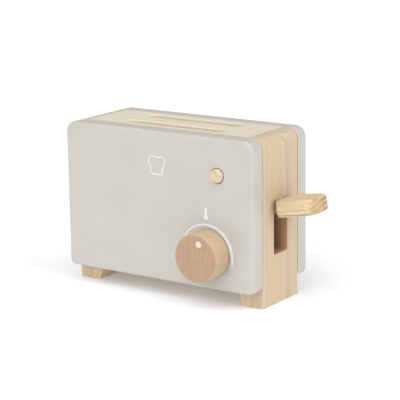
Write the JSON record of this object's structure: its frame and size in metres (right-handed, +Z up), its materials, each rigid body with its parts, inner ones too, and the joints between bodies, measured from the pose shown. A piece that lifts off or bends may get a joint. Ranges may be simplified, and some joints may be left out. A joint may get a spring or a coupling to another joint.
{
  "type": "toy toaster",
  "caption": "Wooden play toaster: painted board faces on a pine case with bread slots, a side lever that swings down, a turning dial and a push button that frees the lever.",
  "frame": {"origin": "on the floor under the middle of the whole toy's box, lever and dial included", "axes": "+Z up, +X along the faces towards the lever's handle, +Y from the dial's face to the back"},
  "size_m": [0.2412, 0.1104, 0.1495],
  "materials": {
    "painted_board": "satin paint",
    "pine": "clear matt lacquer",
    "handle_beech": "clear satin lacquer",
    "dial_beech": "clear satin lacquer",
    "button_beech": "clear matt lacquer",
    "beech": "bare sanded wood",
    "steel": "zinc plated",
    "magnet": "nickel plated",
    "washer": "plain"
  },
  "bodies": {
    "case": {"front_panel": "painted_board", "back_panel": "painted_board", "left_end_board": "pine", "right_end_board": "pine", "top_board": "pine", "bottom_board": "pine", "left_foot_block": "pine", "right_foot_block": "pine", "panel_dowels": "beech", "frame_dowels": "beech", "foot_screws": "steel", "pivot_post_front": "pine", "pivot_post_back": "pine", "lever_pivot_pin": "steel", "spring_peg": "beech", "lift_spring": "steel", "release_bracket": "beech", "release_pivot_pin": "steel", "release_spring": "steel"},
    "lever": {"lever_arm": "beech", "lever_handle": "handle_beech", "handle_dowel": "beech", "crossbar_left": "beech", "crossbar_right": "beech", "toast_rest_front": "beech", "toast_rest_back": "beech", "rest_screws": "steel", "crossbar_screws": "steel", "keeper_plate": "steel"},
    "dial": {"dial_knob": "dial_beech", "knob_axle": "beech", "knob_washer": "washer", "knob_retainer": "beech"},
    "button": {"release_button": "button_beech", "button_collar": "beech"},
    "catch": {"release_lever": "beech", "latch_magnet": "magnet"}
  },
  "joints": [
    {"name": "lever_swing", "type": "hinge", "parent": "case", "child": "lever", "pos_m": [-0.08864, 0.0107, 0.061], "axis": [0, 1, 0], "range_deg": [0, 11.5], "stiffness_Nm_per_rad": 1.05, "springref_deg": -13.64, "deforming": ["lift_spring"]},
    {"name": "dial_turn", "type": "hinge", "parent": "case", "child": "dial", "pos_m": [0.03456, -0.045, 0.0475], "axis": [0, -1, 0], "continuous": true},
    {"name": "button_push", "type": "slide", "parent": "case", "child": "button", "axis": [0, 1, 0], "range_m": [0, 0.0028], "stiffness_N_per_m": 350, "springref_m": -0.0028},
    {"name": "catch_turn", "type": "hinge", "parent": "case", "child": "catch", "pos_m": [0.04376, -0.0073, 0.092], "axis": [1, 0, 0], "range_deg": [-6.6, 0], "deforming": ["release_spring"]}
  ],
  "couplings": [
    {"joint": "catch_turn", "follows": "button_push", "rad_per_m": -40.323}
  ]
}
